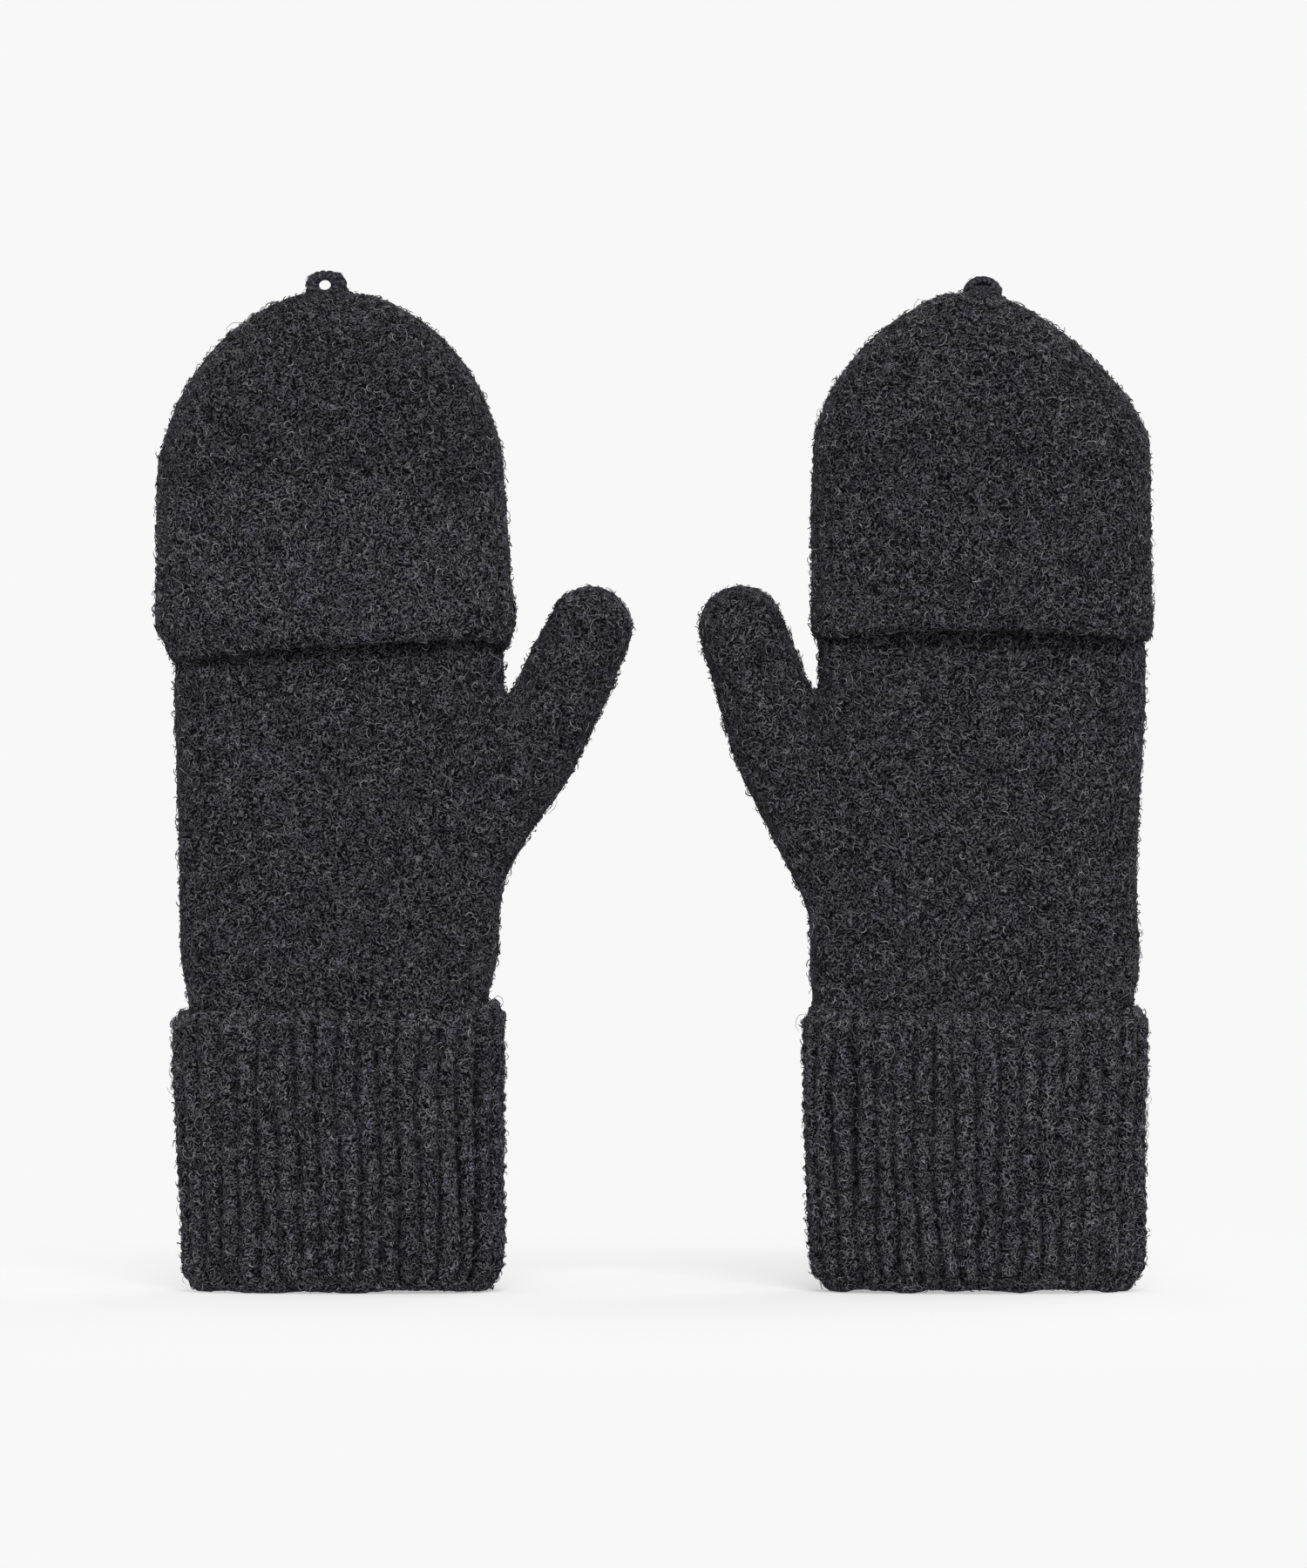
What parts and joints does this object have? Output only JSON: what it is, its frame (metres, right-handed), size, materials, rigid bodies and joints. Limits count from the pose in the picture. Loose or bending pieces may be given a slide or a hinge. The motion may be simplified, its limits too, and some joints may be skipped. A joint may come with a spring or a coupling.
{
  "type": "convertible flip-top mittens",
  "caption": "Pair of charcoal boucle flip-top mittens: ribbed turned-up cuffs, caps that fold back over open half fingers and hook on a back button.",
  "frame": {"origin": "on the floor under the middle of the pair, midway between the two turned-up cuffs", "axes": "+Z from the cuffs to the fingertips; -Y is the palm side, the front; +X from the right-hand mitten to the left-hand one"},
  "size_m": [0.2694, 0.036, 0.2757],
  "materials": {
    "boucle_knit": "brushed charcoal boucle wool knit",
    "rib_knit": "charcoal boucle wool in a 1x1 rib",
    "half_finger_knit": "plain charcoal wool knit",
    "loop_cord": "crocheted charcoal yarn",
    "button_horn": "satin dark horn",
    "sewing_thread": "twisted charcoal thread"
  },
  "bodies": {
    "right_cuff": {"right_cuff_turnback": "rib_knit"},
    "right_hand": {"right_cuff_inner": "rib_knit", "right_hand_tube": "boucle_knit", "right_thumb_stall": "boucle_knit", "right_index_half_finger": "half_finger_knit", "right_middle_half_finger": "half_finger_knit", "right_ring_half_finger": "half_finger_knit", "right_little_half_finger": "half_finger_knit", "right_cap_linking": "boucle_knit", "right_button": "button_horn", "right_button_thread": "sewing_thread"},
    "right_cap": {"right_cap_shell": "boucle_knit", "right_cap_rim": "rib_knit", "right_tip_loop": "loop_cord"},
    "left_cuff": {"left_cuff_turnback": "rib_knit"},
    "left_hand": {"left_cuff_inner": "rib_knit", "left_hand_tube": "boucle_knit", "left_thumb_stall": "boucle_knit", "left_index_half_finger": "half_finger_knit", "left_middle_half_finger": "half_finger_knit", "left_ring_half_finger": "half_finger_knit", "left_little_half_finger": "half_finger_knit", "left_cap_linking": "boucle_knit", "left_button": "button_horn", "left_button_thread": "sewing_thread"},
    "left_cap": {"left_cap_shell": "boucle_knit", "left_cap_rim": "rib_knit", "left_tip_loop": "loop_cord"}
  },
  "joints": [
    {"name": "right_cuff_unroll", "type": "slide", "parent": "right_cuff", "child": "right_hand", "axis": [0, 0, 1], "range_m": [0, 0.07]},
    {"name": "right_cap_flip", "type": "hinge", "parent": "right_hand", "child": "right_cap", "pos_m": [-0.0867, 0.0173, 0.188], "axis": [-1, 0, 0], "range_deg": [0, 180]},
    {"name": "left_cuff_unroll", "type": "slide", "parent": "left_cuff", "child": "left_hand", "axis": [0, 0, 1], "range_m": [0, 0.07]},
    {"name": "left_cap_flip", "type": "hinge", "parent": "left_hand", "child": "left_cap", "pos_m": [0.0867, 0.0173, 0.188], "axis": [-1, 0, 0], "range_deg": [0, 180]},
    {"name": "pair_spread", "type": "slide", "parent": "right_cuff", "child": "left_cuff", "axis": [1, 0, 0], "range_m": [0, 0.15]}
  ]
}
